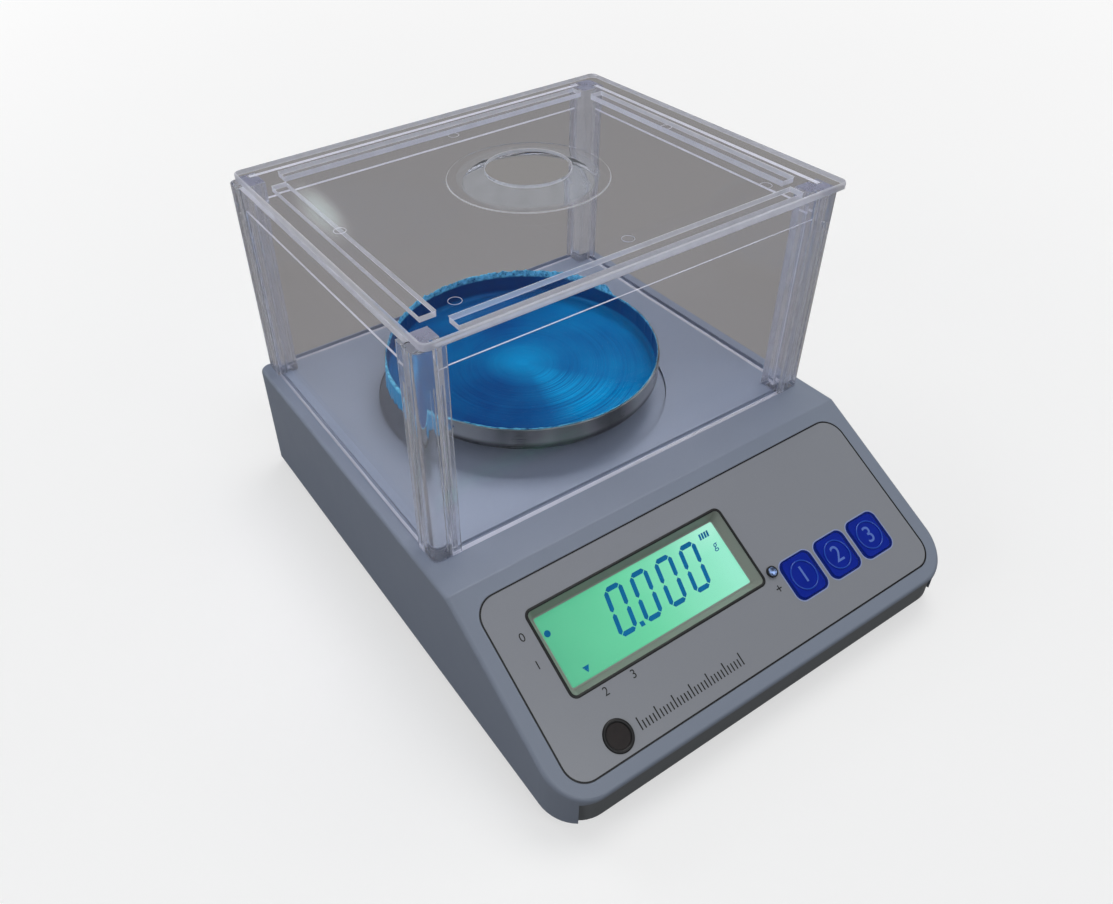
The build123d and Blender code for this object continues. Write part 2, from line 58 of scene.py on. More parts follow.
# Display window, its glass and what the glass shows
display_x, display_down = -29.7, 34.8
display_width, display_height, display_depth, display_round = 94.0, 34.4, 4.2, 2.5
glass_width, glass_height, glass_top, glass_round = 89.0, 29.5, 5.1, 1.2
digit_left, digit_base, digit_count, digit_pitch = -46.6, 42.5, 4, 12.4
digit_width, digit_height, digit_bar, digit_gap, digit_lean = 8.7, 19.0, 0.95, 0.25, 0.2
point_gap, point_size = 1.3, 1.9
spot_x, spot_down, spot_radius = -70.9, 27.7, 1.3
arrow_x, arrow_down, arrow_half, arrow_height = -64.4, 44.2, 1.5, 2.5
charge_left, charge_top, charge_count, charge_pitch = 5.6, 23.0, 4, 1.3
charge_width, charge_height = 0.9, 2.4
unit_x, unit_down, unit_size = 10.0, 29.6, 4.8

# Keys; the three outlines round a cap are given as width, height and corner radius
key_names = ("left_key", "middle_key", "right_key")
key_bodies = ("left_button", "middle_button", "right_button")
key_xs, key_down, key_lift = (34.0, 53.1, 72.1), 56.8, 0.25
cap_gap, field_edge, halo_edge = (14.62, 16.32, 2.9), (17.0, 17.2, 3.6), (17.9, 18.1, 4.0)
thumb_radius, thumb_lift, numeral_size = 5.85, 0.45, 9.6

# Lamp, round window and the printed signs with their size, place across and place down
lamp_x, lamp_down, lamp_radius = 22.0, 49.6, 2.2
dial_x, dial_down, dial_radius = -69.0, 70.1, 5.2
panel_signs = (
    ("mark_left_upper", "0", 4.6, -82.0, 25.0),
    ("mark_left_lower", "1", 4.6, -82.0, 36.0),
    ("mark_below_left", "2", 4.6, -64.6, 55.4),
    ("mark_below_right", "3", 4.6, -51.8, 55.2),
    ("lamp_mark", "+", 5.6, 20.7, 56.6),
)
tick_first, tick_last, tick_gaps, tick_down = -59.8, -10.9, 30, 72.8

# Pan and the blue film that lines it
pan_x, pan_y, pan_z = -4.5, 39.0, 71.0
pan_radius, pan_height, pan_sheet = 60.0, 10.5, 0.8
liner_sheet, liner_corner = 0.1, 2.2
liner_radius = pan_radius - pan_sheet - 0.12
liner_floor = pan_sheet + 0.08
liner_wall_foot = pan_sheet + 2.3
liner_turns, floor_steps, corner_steps, wall_steps, edge_steps = 540, 18, 6, 8, 8
# Where the film stands up and where it hangs over, in degrees from +X towards +Y
flap_from, flap_to, tuck_to, fold_from, fold_to = 8, 165, 206, 150, 212
flap_height, tuck_height, torn_height, least_height = 3.4, 1.2, 0.5, 0.15
hang_length, rim_wrap = 8.2, 0.75

# Windshield; the reaches from the middle of the lid's hole part its wall, collar and step,
# and a face whose normal has more than the level share along an axis counts as square to it
corners = ("front_left", "front_right", "back_left", "back_right")
sides = ("front", "back", "left", "right")
lid_x, lid_y, lid_low = 3.4, 44.4, 154.0
hole_reach, collar_reach, step_reach, level_share = 17.9, 31.0, 32.0, 0.97
pin_radius, pin_bead = 2.4, 0.12
pin_spots = ((-77.1, 52.7), (-68.1, -15.4), (4.5, -16.7), (83.9, 52.7), (74.9, -15.4), (4.5, 104.0))
post_edge, panel_edge, lid_edge = 0.35, 0.2, 0.3

# Underside and power rocker
foot_gap, screw_level = 6.0, 6.4
screw_spots = ((-88, -62), (88, -62), (-92, 30), (92, 30), (-40, 113), (0, -112))
plate_x, plate_y, plate_width, plate_depth, plate_round = 38.0, 60.0, 56.0, 30.0, 2.5
rocker_place, rocker_swing = (30.0, 119.5, 30.0), 18.0
rocker_out, rocker_rise, rocker_half = 1.0, 0.8, 4.4
rocker_sign_size, rocker_sign_up = 3.4, 2.3

# Camera that took the photograph, 1113 by 904 pixels; angles in radians, focus and shift in pixels
photo_width = 1113.0
camera_place = (-198.33, -244.91, 316.37)
camera_turn, camera_dip, camera_roll = 0.5358, 0.6832, -0.0532
camera_focus, camera_shift = 928.3, (-79.3, -28.3)

# Stage, in metres and watts: floor, the window that glints in the lid, and lamps with their place,
# size, power, colour and the rays that don't see them, so that they leave no disc in the lid
floor_reach, room_level, glint_level = 6.0, 0.2, 4.0
glint_way = (0.326, 0.841, 0.432)
glint_axes = (((0.427, -0.554, 0.714), 0.045), ((-0.838, 0.047, 0.543), 0.02))
lamp_target = (0, 0, 0.05)
lamps = (
    ("key_lamp", (0.5, 0.25, 1.5), 0.9, 8.8, (1.0, 0.99, 0.97), ()),
    ("front_lamp", (0.1, -1.2, 1.2), 1.0, 5.6, (0.94, 0.97, 1.0), ()),
    ("left_lamp", (-1.5, 0.1, 0.6), 0.8, 7.0, (0.97, 0.98, 1.0), ("glossy",)),
    ("right_lamp", (1.4, -0.4, 0.6), 0.8, 3.6, (0.97, 0.98, 1.0), ("glossy", "transmission")),
    ("back_lamp", (-0.6, 1.3, 0.7), 0.7, 5.5, (0.97, 0.98, 1.0), ("glossy", "transmission")),
)


class Signal:
    """A shader socket used in Python sums; each operator adds one Math node."""

    def __init__(self, paint, socket):
        self.paint, self.socket = paint, socket

    def maths(self, operation, *terms):
        return self.paint.node("Math", {"operation": operation}, dict(enumerate(terms)))

    def __add__(self, other):
        return self.maths("ADD", self, other)

    __radd__ = __add__

    def __sub__(self, other):
        return self.maths("SUBTRACT", self, other)

    def __rsub__(self, other):
        return self.maths("SUBTRACT", other, self)

    def __mul__(self, other):
        return self.maths("MULTIPLY", self, other)

    __rmul__ = __mul__

    def __truediv__(self, other):
        return self.maths("DIVIDE", self, other)

    def __pow__(self, other):
        return self.maths("POWER", self, other)

    def cosine(self):
        return self.maths("COSINE", self)

    def sine(self):
        return self.maths("SINE", self)

    def clamp(self):
        return self.paint.node("Clamp", {}, {0: self})

    def of(self, output):
        return Signal(self.paint, self.socket.node.outputs[output])


class Paint:
    """A node material with one Principled shader; constants go straight on its sockets."""

    def __init__(self, name, **constants):
        self.use(bpy.data.materials.new(name), "Principled BSDF", "Material Output")
        for socket, value in constants.items():
            self.shader.inputs[socket.replace("_", " ")].default_value = value

    def use(self, owner, shader, output):
        owner.use_nodes = True
        self.material, self.tree = owner, owner.node_tree
        self.shader = self.tree.nodes[shader]
        self.surface = self.tree.nodes[output].inputs["Surface"]

    def feed(self, socket, value):
        if isinstance(value, Signal):
            self.tree.links.new(value.socket, socket)
        else:
            socket.default_value = value

    def node(self, kind, settings=None, values=None, out=0):
        made = self.tree.nodes.new("ShaderNode" + kind)
        for name, value in (settings or {}).items():
            if name == "stops":
                self.set_stops(made.color_ramp, value)
            else:
                setattr(made, name, value)
        for key, value in (values or {}).items():
            self.feed(made.inputs[key], value)
        return Signal(self, made.outputs[out])

    def set_stops(self, ramp, stops):
        while len(ramp.elements) < len(stops):
            ramp.elements.new(1.0)
        for element, (place, colour) in zip(ramp.elements, stops):
            element.position, element.color = place, colour

    def set(self, **values):
        for socket, value in values.items():
            self.feed(self.shader.inputs[socket.replace("_", " ")], value)

    def place(self):
        return self.node("TexCoord", out="Object")

    def split(self, vector):
        parts = self.node("SeparateXYZ", {}, {0: vector})
        return parts, parts.of("Y"), parts.of("Z")

    def join(self, x, y, z):
        return self.node("CombineXYZ", {}, {0: x, 1: y, 2: z})

    def about_pan(self):
        """Place across and along from the pan's axis, height, distance from it, turn about it."""
        x, y, z = self.split(self.place())
        across, along = x - pan_x * MM, y - pan_y * MM
        reach = (across * across + along * along) ** 0.5
        return across, along, z, reach, along.maths("ARCTAN2", along, across)

    def noise(self, vector, scale, detail, roughness):
        values = {"Vector": vector, "Scale": scale, "Detail": detail, "Roughness": roughness}
        return self.node("TexNoise", {}, values)

    def grain(self, size, detail=2.0, roughness=0.5):
        """Noise on the piece, with patches of about this size in millimetres."""
        return self.noise(self.place(), 1 / (size * MM), detail, roughness)

    def mix(self, factor, first, second):
        return self.node("Mix", {"data_type": "RGBA"}, {0: factor, 6: first, 7: second}, out=2)

    def bump(self, height, depth, strength):
        """Dents and rises, with their depth in millimetres."""
        return self.node("Bump", {}, {"Height": height, "Distance": depth * MM, "Strength": strength})

    def ramp(self, factor, stops):
        return self.node("ValToRGB", {"stops": stops}, {0: factor})

    def own_shader(self):
        return Signal(self, self.shader.outputs[0])

    def mix_shaders(self, factor, first, second):
        return self.node("MixShader", {}, {0: factor, 1: first, 2: second})


def rgb(red, green, blue):
    """Linear colour of an sRGB one given from 0 to 255."""
    parts = [value / 255 for value in (red, green, blue)]
    parts = [value / 12.92 if value < 0.04045 else ((value + 0.055) / 1.055) ** 2.4 for value in parts]
    return (*parts, 1.0)


def shade(colour, factor):
    return (*[part * factor for part in colour[:3]], 1.0)


def on_panel(x, down, up=0.0):
    """A place on the slope: x across, down from the ridge, up off its face."""
    y = ridge_y - down * cos(slope_angle) - up * sin(slope_angle)
    z = deck_z - down * sin(slope_angle) + up * cos(slope_angle)
    return Vector((x, y, z)) * MM


# Finishes

def moulded(name, colour, roughness=0.5, texture=0.03, grain_size=0.35, contrast=0.05):
    """Spark-eroded moulded plastic: fine even texture, faint cloudiness, slightly uneven gloss."""
    paint = Paint(name)
    cloud = paint.grain(45.0, 3.0)
    grit = paint.grain(grain_size)
    smear = paint.grain(18.0, 4.0, 0.6)
    pale = paint.mix(cloud, shade(colour, 1 - contrast), shade(colour, 1 + contrast))
    speck = paint.mix(grit * 0.35, pale, shade(colour, 0.82))
    paint.set(Base_Color=speck, Roughness=smear * 0.12 + (roughness - 0.06))
    paint.set(Normal=paint.bump(grit, texture, 0.6))
    return paint.material


def panel_film(name, colour):
    """Screen-printed polyester film: satin grey with a faint pearl grain."""
    paint = Paint(name, Coat_Weight=0.25, Coat_Roughness=0.22)
    pearl = paint.grain(0.22)
    cloud = paint.grain(60.0)
    base = paint.mix(pearl, shade(colour, 0.93), shade(colour, 1.07))
    base = paint.mix(cloud * 0.25, base, shade(colour, 0.9))
    paint.set(Base_Color=base, Roughness=cloud * 0.1 + 0.3)
    paint.set(Normal=paint.bump(pearl, 0.006, 0.5))
    return paint.material


def ink(name, colour, roughness=0.4, gloss=0.5):
    """Printed or moulded small mark with a slightly uneven cover."""
    paint = Paint(name, Specular_IOR_Level=gloss)
    cover = paint.grain(0.5)
    paint.set(Base_Color=paint.mix(cover * 0.5, colour, shade(colour, 0.8)))
    paint.set(Roughness=cover * 0.1 + roughness)
    return paint.material


def key_plastic(name, blue):
    """Glossy royal-blue keycap with soft wear in the middle."""
    paint = Paint(name, Coat_Weight=0.06, Coat_Roughness=0.15, Specular_IOR_Level=0.2)
    rub = paint.grain(6.0, 3.0)
    paint.set(Base_Color=paint.mix(rub, shade(blue, 0.8), shade(blue, 1.25)))
    paint.set(Roughness=rub * 0.15 + 0.28, Normal=paint.bump(paint.grain(0.3), 0.008, 0.5))
    return paint.material


def lit_through(paint, tint):
    """Lets the lamps shine through, because clear plastic throws hardly any shadow."""
    open_light = paint.node("BsdfTransparent", {}, {"Color": tint})
    lamp_ray = paint.node("LightPath", out="Is Shadow Ray")
    paint.feed(paint.surface, paint.mix_shaders(lamp_ray, paint.own_shader(), open_light))
    return paint.material


def clear_plastic(name, tint, ripple=0.04, bend=1.36, gloss=0.0):
    """Clear polystyrene with a faint ripple from the mould."""
    paint = Paint(name, Base_Color=tint, Transmission_Weight=1.0, IOR=bend, Specular_IOR_Level=0.3)
    wave = paint.grain(30.0)
    paint.set(Coat_Weight=gloss, Roughness=wave * 0.03, Normal=paint.bump(wave, ripple, 0.5))
    return lit_through(paint, shade(tint, 0.97))


def frosted(name, tint, clearness, bend=1.2, roughness=0.25):
    """Thick or cut clear plastic, which catches the light and looks lavender-white."""
    paint = Paint(name, Transmission_Weight=clearness, IOR=bend, Specular_IOR_Level=0.4)
    streak = paint.grain(5.0, 3.0)
    paint.set(Base_Color=paint.mix(streak, shade(tint, 0.82), shade(tint, 1.04)))
    paint.set(Roughness=streak * (roughness * 0.8) + roughness)
    return lit_through(paint, shade(tint, 0.8))


def display_light(name):
    """Backlit liquid crystal: green at the left, brighter mint at the right, with a painted reflection
    near the top of its right end.
    """
    paint = Paint(name, Emission_Strength=1.0)
    x, _, z = paint.split(paint.place())
    along = (x - (display_x - glass_width / 2) * MM) / (glass_width * MM)
    climb = (z - on_panel(0, display_down).z) / (7 * MM)
    patch = paint.grain(26.0)
    stops = [(0.0, rgb(66, 168, 126)), (0.45, rgb(92, 198, 150)), (1.0, rgb(146, 226, 198))]
    glow = paint.ramp(along + patch * 0.16 - 0.08, stops)
    # Painted reflection: a pale glare over the right end, stronger towards the top.
    bright = ((along - 0.72) * 3.2).clamp() * (climb + 0.4).clamp()
    glow = paint.mix(bright * 0.6, glow, rgb(206, 246, 232))
    paint.set(Base_Color=shade(rgb(60, 120, 90), 0.3), Roughness=0.4, Emission_Color=glow)
    return paint.material


def brushed_steel(name, colour):
    """Spun stainless steel: fine rings about the pan's axis and fine level lines on its rim, with
    painted room reflections as dark and light patches round the pan, and painted shade on the rim's
    lower bend.
    """
    paint = Paint(name, Metallic=1.0)
    across, along, z, reach, turn = paint.about_pan()
    rings = paint.join(reach * 3000.0, z * 3000.0, across * 18.0 + along * 11.0)
    lines = paint.noise(rings, 1.0, 3.0, 0.6)
    smudge = paint.grain(14.0, 3.0)
    polished = paint.mix(smudge * 0.6, colour, shade(colour, 0.72))
    # Painted reflection: dark and light patches round the pan stand for the room mirrored in the
    # steel.
    room = paint.noise(paint.join(turn * 2.2, z * 12.0, turn.sine()), 1.0, 2.0, 0.55)
    steel_with_painted_reflection = paint.mix((room * 3.2 - 1.1).clamp(), shade(colour, 0.3), polished)
    # Painted shade: the rim's lower bend, over the dark gap under the pan, is painted almost black.
    low, outside = (pan_z + 4.4) * MM - z, reach - (pan_radius - 4.0) * MM
    bend = (low * 500.0).clamp() * (outside * 1000.0).clamp()
    paint.set(Base_Color=paint.mix(bend * 0.9, steel_with_painted_reflection, shade(colour, 0.12)))
    paint.set(Roughness=smudge * 0.14 + lines * 0.1 + 0.18)
    paint.set(Normal=paint.bump(lines, 0.02, 0.7))
    return paint.material


def blue_film(name, deep, light):
    """Blue film over spun steel: the steel's rings show through and creases whiten it; a painted
    highlight spreads from the middle towards the front, and the left front, the back and the wall get
    painted shade.
    """
    paint = Paint(name, Metallic=0.15, Specular_IOR_Level=0.06)
    across, along, z, reach, turn = paint.about_pan()
    rings = paint.join(reach * 1500.0, z * 700.0, across * 9.0 + along * 14.0)
    lines = paint.noise(rings, 1.0, 3.0, 0.6)
    cloud = paint.grain(26.0, 3.0)

    def beam(way, cut, gain, size):
        """A soft wedge from the pan's axis towards one way, faded in over a distance, that places
        painted highlight and painted shade.
        """
        return (((turn - way).cosine() - cut) * gain).clamp() * (reach / (size * MM)).clamp()

    # Painted highlight spreading from the middle towards the front, a painted bright middle, and
    # painted shade towards the left front and towards the back; inside the highlight the steel's rings
    # are painted brighter as streaks.
    highlight_fan, shade_left_front, back = beam(-1.4, 0.88, 8.0, 22), beam(-2.75, 0.35, 1.6, 16), beam(1.5, 0.2, 1.3, 30)
    highlight_middle = (1.0 - reach / (19 * MM)).clamp()
    streaks = (lines - 0.42) * (highlight_fan * 2.4 + 0.4)
    strength = streaks + cloud * 0.5 + highlight_fan * 0.14 + highlight_middle * 0.4 - shade_left_front * 0.26 - back * 0.2 + 0.04
    base = paint.mix(strength.clamp(), deep, light)
    # Painted shade: the film's wall, from a little above the floor up, is painted darker.
    wall = ((z - (pan_z + 2.2) * MM) * 900.0).clamp()
    base = paint.mix(wall * (1.0 - cloud * 0.4) * 0.9, base, rgb(0, 50, 104))
    outside = ((reach - (pan_radius + 0.15) * MM) * 2500.0).clamp()
    crumple = paint.grain(1.5, 4.0, 0.7)
    base = paint.mix(outside * (crumple * 0.9 + 0.4).clamp(), base, rgb(34, 150, 204))
    edge = ((z - (pan_z + pan_height - 0.7) * MM) * 900.0).clamp()
    torn = paint.grain(2.4, 4.0, 0.7)
    whiten = (edge * (torn * 4.2 - 1.3)).clamp()
    base = paint.mix(whiten, base, rgb(110, 200, 232))
    paint.set(Base_Color=base, Roughness=lines * 0.14 + 0.24)
    paint.set(Normal=paint.bump(lines + whiten * 0.5, 0.03, 0.7))
    return paint.material


def plain_metal(name, colour, roughness=0.35):
    """Turned or plated metal for screws, the load cell and other fittings."""
    paint = Paint(name, Metallic=1.0)
    lines = paint.grain(0.6, 3.0)
    paint.set(Base_Color=paint.mix(lines, colour, shade(colour, 0.75)))
    paint.set(Roughness=lines * 0.2 + roughness - 0.1, Normal=paint.bump(lines, 0.01, 0.5))
    return paint.material


def glossy_resin(name, colour):
    """Water-clear lamp resin over its dark cup; its light and dark patches are a painted highlight and
    painted dark reflections.
    """
    paint = Paint(name, Coat_Weight=0.6, Coat_Roughness=0.04)
    # Painted highlight and painted dark reflections, as patches in the resin's colour.
    depth = (paint.grain(1.6, 1.0) * 4.0 - 1.5).clamp()
    paint.set(Base_Color=paint.mix(depth, shade(colour, 0.3), shade(colour, 2.8)))
    paint.set(Roughness=depth * 0.1 + 0.1)
    return paint.material


def dark_glass(name, colour):
    """Smoked window, glossy in front and brown-black inside."""
    paint = Paint(name, Coat_Weight=0.3, Coat_Roughness=0.05, Specular_IOR_Level=0.3)
    fog = paint.grain(3.0, 3.0)
    paint.set(Base_Color=paint.mix(fog, shade(colour, 0.6), shade(colour, 1.6)))
    paint.set(Roughness=fog * 0.2 + 0.25)
    return paint.material


finishes = {
    "housing_grey": moulded("housing plastic", rgb(130, 139, 155), 0.44),
    "panel_film": panel_film("printed film", rgb(139, 142, 149)),
    "key_blue": key_plastic("blue key", rgb(0, 34, 150)),
    "switch_black": moulded("black plastic", rgb(28, 28, 30), 0.42, 0.02, 0.3, 0.15),
    "clear_plastic": clear_plastic("clear plastic", (0.965, 0.965, 0.995, 1.0)),
    "display_glass": display_light("display light"),
    "backlight_white": moulded("diffuser white", rgb(225, 230, 225), 0.5),
    "board_green": moulded("board green", rgb(20, 92, 52), 0.35, 0.03, 1.2, 0.2),
    "lamp_clear": glossy_resin("lamp resin", rgb(120, 142, 184)),
    "window_dark": dark_glass("smoked window", rgb(26, 18, 17)),
    "pan_steel": brushed_steel("spun steel", (0.5, 0.5, 0.49, 1.0)),
    "film_blue": blue_film("blue film", rgb(0, 62, 122), rgb(0, 146, 202)),
    "support_grey": moulded("support plastic", rgb(70, 72, 76), 0.5),
    "cell_aluminium": plain_metal("aluminium", (0.74, 0.75, 0.77, 1.0)),
    "rubber_black": moulded("rubber", rgb(30, 30, 31), 0.75, 0.05, 0.6, 0.15),
    "steel_bright": plain_metal("plated steel", (0.66, 0.66, 0.65, 1.0), 0.28),
    "battery_sleeve": moulded("shrink sleeve", rgb(40, 90, 150), 0.3, 0.01, 1.0, 0.1),
}
# The base is the housing's grey plastic, painted darker and less blue: painted shade on its front wall
# under the lip.
base_grey_painted_shade = moulded("base plastic in painted shade", rgb(112, 116, 120))
# Lighter and greener than the housing grey: painted light from the display's glow falling on the
# window's wall.
window_wall_painted_glow = moulded("window wall", rgb(140, 146, 138), 0.35, 0.01, 0.5, 0.1)
plate_metal = plain_metal("label plate", (0.6, 0.61, 0.62, 1.0), 0.4)

black_ink = ink("black print", rgb(10, 10, 12))
white_ink = ink("white print", rgb(222, 222, 222))
segment_ink = ink("display segment", rgb(0, 96, 146), 0.6, 0.1)
key_ink = ink("key print", rgb(92, 124, 206), 0.3)
key_field = ink("key field", rgb(0, 30, 118), 0.3, 0.2)
key_halo = ink("key halo", rgb(150, 164, 205), 0.3)
# Lighter blue of the raised thumb ring: painted highlight along its crest.
key_shine = ink("key ring", rgb(34, 78, 184), 0.14)

edge_frost = frosted("clear plastic edge", (0.92, 0.93, 1.0, 1.0), 0.55)
line_frost = frosted("clear plastic step", (0.88, 0.89, 0.97, 1.0), 0.5)
post_frost = frosted("clear post", (0.93, 0.94, 0.985, 1.0), 0.87, 1.38, 0.015)
post_end_frost = frosted("clear post end", (0.88, 0.89, 0.97, 1.0), 0.92, 1.1, 0.2)
mark_frost = frosted("clear pin mark", (0.88, 0.89, 0.97, 1.0), 0.82, 1.15)
collar_frost = frosted("clear collar", (0.92, 0.95, 1.0, 1.0), 0.94, 1.04, 0.03)
panel_clear = clear_plastic("clear panel", (0.965, 0.965, 0.99, 1.0), bend=1.2)
lid_clear = clear_plastic("clear lid", (0.965, 0.965, 0.99, 1.0), bend=1.05, gloss=0.25)
display_clear = clear_plastic("display cover", (0.99, 0.99, 1.0, 1.0), 0.0, 1.08)


def dress_cad_nodes():
    for part in frame["record"]["subparts"]:
        for holder in nodes[part["node"]].material_slots:
            holder.material = finishes[part["material_slot"]]
    # The base housing gets the grey painted in shade.
    for holder in nodes["base_housing"].material_slots:
        holder.material = base_grey_painted_shade


# Meshes

def placed(name, data):
    """A new object in the scene, at the origin."""
    made = bpy.data.objects.new(name, data)
    bpy.context.scene.collection.objects.link(made)
    return made


def evaluated_mesh(made, name):
    """What an object shows once its modifiers or its text are worked out, as a plain mesh."""
    bpy.context.view_layer.update()
    ready = made.evaluated_get(bpy.context.evaluated_depsgraph_get())
    mesh = bpy.data.meshes.new_from_object(ready)
    mesh.name = name
    return mesh


def apply_modifiers(made):
    mesh = evaluated_mesh(made, made.name)
    made.modifiers.clear()
    made.data = mesh


def finish_mesh(mesh, smooth_angle=None):
    work = bmesh.new()
    work.from_mesh(mesh)
    bmesh.ops.remove_doubles(work, verts=work.verts, dist=1e-7)
    bmesh.ops.recalc_face_normals(work, faces=work.faces)
    work.to_mesh(mesh)
    work.free()
    if smooth_angle is not None:
        mesh.shade_smooth()
        mesh.set_sharp_from_angle(angle=radians(smooth_angle))


def add(name, mesh, body):
    made = placed(name, mesh)
    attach(made, body)
    return made


def piece(name, verts, faces, body, slot, material, smooth_angle=30):
    mesh = bpy.data.meshes.new(name)
    mesh.from_pydata([tuple(v) for v in verts], [], faces)
    finish_mesh(mesh, smooth_angle)
    mesh.materials.append(material)
    return add(name, mesh, body)


def rounded(width, height, radius, steps=8):
    """Outline of a rectangle with round corners, counter-clockwise, as (across, up) pairs."""
    outline = []
    for quarter, (sx, sy) in enumerate(((1, 1), (-1, 1), (-1, -1), (1, -1))):
        for k in range(steps + 1):
            angle = pi / 2 * (quarter + k / steps)
            x = sx * (width / 2 - radius) + radius * cos(angle)
            y = sy * (height / 2 - radius) + radius * sin(angle)
            outline.append((x, y))
    return outline


def circle(radius, steps=48):
    return [(radius * cos(2 * pi * k / steps), radius * sin(2 * pi * k / steps)) for k in range(steps)]


def oblong(left, top, width, height):
    """Outline of a rectangle as (x, down) pairs."""
    right, low = left + width, top + height
    return [(left, top), (right, top), (right, low), (left, low)]


def loops_to_mesh(loops, closed=True):
    """Joins loops of equal length into a tube; closed joins the last loop to the first."""
    verts = [point for loop in loops for point in loop]
    count, size = len(loops), len(loops[0])
    faces = []
    for i in range(count if closed else count - 1):
        j = (i + 1) % count
        for k in range(size):
            m = (k + 1) % size
            faces.append((i * size + k, i * size + m, j * size + m, j * size + k))
    if not closed:
        faces.append(tuple(range(size)))
        faces.append(tuple(range((count - 1) * size, count * size)))
    return verts, faces


def panel_loop(x, down, outline, up):
    """An outline laid on the slope about a place, at one height off its face."""
    return [on_panel(x + across, down - rise, up) for across, rise in outline]


def panel_ring(name, x, down, outer, inner, low, high, material, slot="panel_film"):
    """A flat ring on the slope between two outlines, from one height off it to another."""
    section = ((outer, low), (outer, high), (inner, high), (inner, low))
    loops = [panel_loop(x, down, outline, up) for outline, up in section]
    return piece(name, *loops_to_mesh(loops), "housing", slot, material)


def panel_bead(name, x, down, outline, radius, height, material, body, slot, lift=0.0):
    """A half-round bead along an outline on the slope, sunk a little into what carries it."""
    steps, sink = 8, 0.02
    loops = []
    for k, place in enumerate(outline):
        before, after = Vector(outline[k - 1]), Vector(outline[(k + 1) % len(outline)])
        along = (after - before).normalized()
        out = Vector((along.y, -along.x))
        loop = []
        for m in range(steps + 1):
            angle = pi * m / steps
            point = Vector(place) + out * (radius * cos(angle))
            loop.append(on_panel(x + point.x, down - point.y, lift + height * sin(angle) - sink))
        loops.append(loop)
    return piece(name, *loops_to_mesh(loops), body, slot, material)


def panel_plates(name, outlines, low, high, material, slot):
    """Several flat plates on the slope, each from its own outline of (x, down) points."""
    verts, faces = [], []
    for outline in outlines:
        start = len(verts)
        loops = [[on_panel(x, down, up) for x, down in outline] for up in (low, high)]
        plate = loops_to_mesh(loops, False)
        verts += plate[0]
        faces += [tuple(start + k for k in face) for face in plate[1]]
    return piece(name, verts, faces, "housing", slot, material, None)


def text_mesh(name, text, size, thick, lean=0.0):
    """A numeral or sign as a flat mesh in millimetres, centred, its back at z = 0."""
    curve = bpy.data.curves.new(name, "FONT")
    curve.body = text
    curve.size = size
    curve.shear = lean
    curve.align_x, curve.align_y = "CENTER", "CENTER"
    curve.extrude = thick / 2
    holder = placed(name, curve)
    mesh = evaluated_mesh(holder, name)
    bpy.data.objects.remove(holder)
    mesh.transform(Matrix.Translation((0, 0, thick / 2)))
    return mesh


def add_sign(name, mesh, body, material):
    finish_mesh(mesh)
    mesh.materials.clear()
    mesh.materials.append(material)
    return add(name, mesh, body)


def lay_on_panel(mesh, x=0.0, down=0.0, up=0.0):
    """Bends a flat mesh, in millimetres of across and up, on to the slope about a place."""
    for vertex in mesh.vertices:
        vertex.co = on_panel(x + vertex.co.x, down - vertex.co.y, up + vertex.co.z)
    return mesh


def panel_text(name, text, size, x, down, up, thick, material, body, slot, lean=0.0):
    """Plain numerals or signs on the slope, centred on a place."""
    mesh = lay_on_panel(text_mesh(name, text, size, thick, lean), x, down, up)
    return add_sign(name, mesh, body, material)


class Grower:
    """A Geometry Nodes tree with named inputs; what it makes is kept as a plain mesh."""

    def __init__(self, name, inputs):
        self.name = name
        self.tree = bpy.data.node_groups.new(name, "GeometryNodeTree")
        sockets = self.tree.interface
        sockets.new_socket("Places", in_out="INPUT", socket_type="NodeSocketGeometry")
        for label, kind in inputs.items():
            sockets.new_socket(label, in_out="INPUT", socket_type="NodeSocket" + kind)
        sockets.new_socket("Material", in_out="INPUT", socket_type="NodeSocketMaterial")
        sockets.new_socket("Made", in_out="OUTPUT", socket_type="NodeSocketGeometry")
        self.start = self.tree.nodes.new("NodeGroupInput")
        self.end = self.tree.nodes.new("NodeGroupOutput")

    def given(self, label):
        return self.start.outputs[label]

    def node(self, kind, settings=None, values=None):
        made = self.tree.nodes.new(kind)
        for name, value in (settings or {}).items():
            setattr(made, name, value)
        for key, value in (values or {}).items():
            if isinstance(value, bpy.types.NodeSocket):
                self.tree.links.new(value, made.inputs[key])
            else:
                made.inputs[key].default_value = value
        return made.outputs[0]

    def maths(self, operation, first, second):
        return self.node("ShaderNodeMath", {"operation": operation}, {0: first, 1: second})

    def vector(self, *parts):
        return self.node("ShaderNodeCombineXYZ", {}, dict(enumerate(parts)))

    def close(self, shape, **values):
        """Puts the shape on every point, and ends the tree."""
        values = {"Points": self.given("Places"), "Instance": shape, **values}
        plain = self.node("GeometryNodeInstanceOnPoints", {}, values)
        plain = self.node("GeometryNodeRealizeInstances", {}, {0: plain})
        values = {"Geometry": plain, "Material": self.given("Material")}
        painted = self.node("GeometryNodeSetMaterial", {}, values)
        self.tree.links.new(painted, self.end.inputs[0])
        return self

    def grow(self, name, places, values):
        """Runs the tree on a set of points, both in millimetres, and gives the mesh."""
        seed = bpy.data.meshes.new(name)
        seed.from_pydata([tuple(place) for place in places], [], [])
        holder = placed(name, seed)
        growth = holder.modifiers.new(self.name, "NODES")
        growth.node_group = self.tree
        for item in self.tree.interface.items_tree:
            if item.in_out == "INPUT" and item.name in values:
                growth[item.identifier] = values[item.name]
        mesh = evaluated_mesh(holder, name)
        bpy.data.objects.remove(holder)
        return mesh


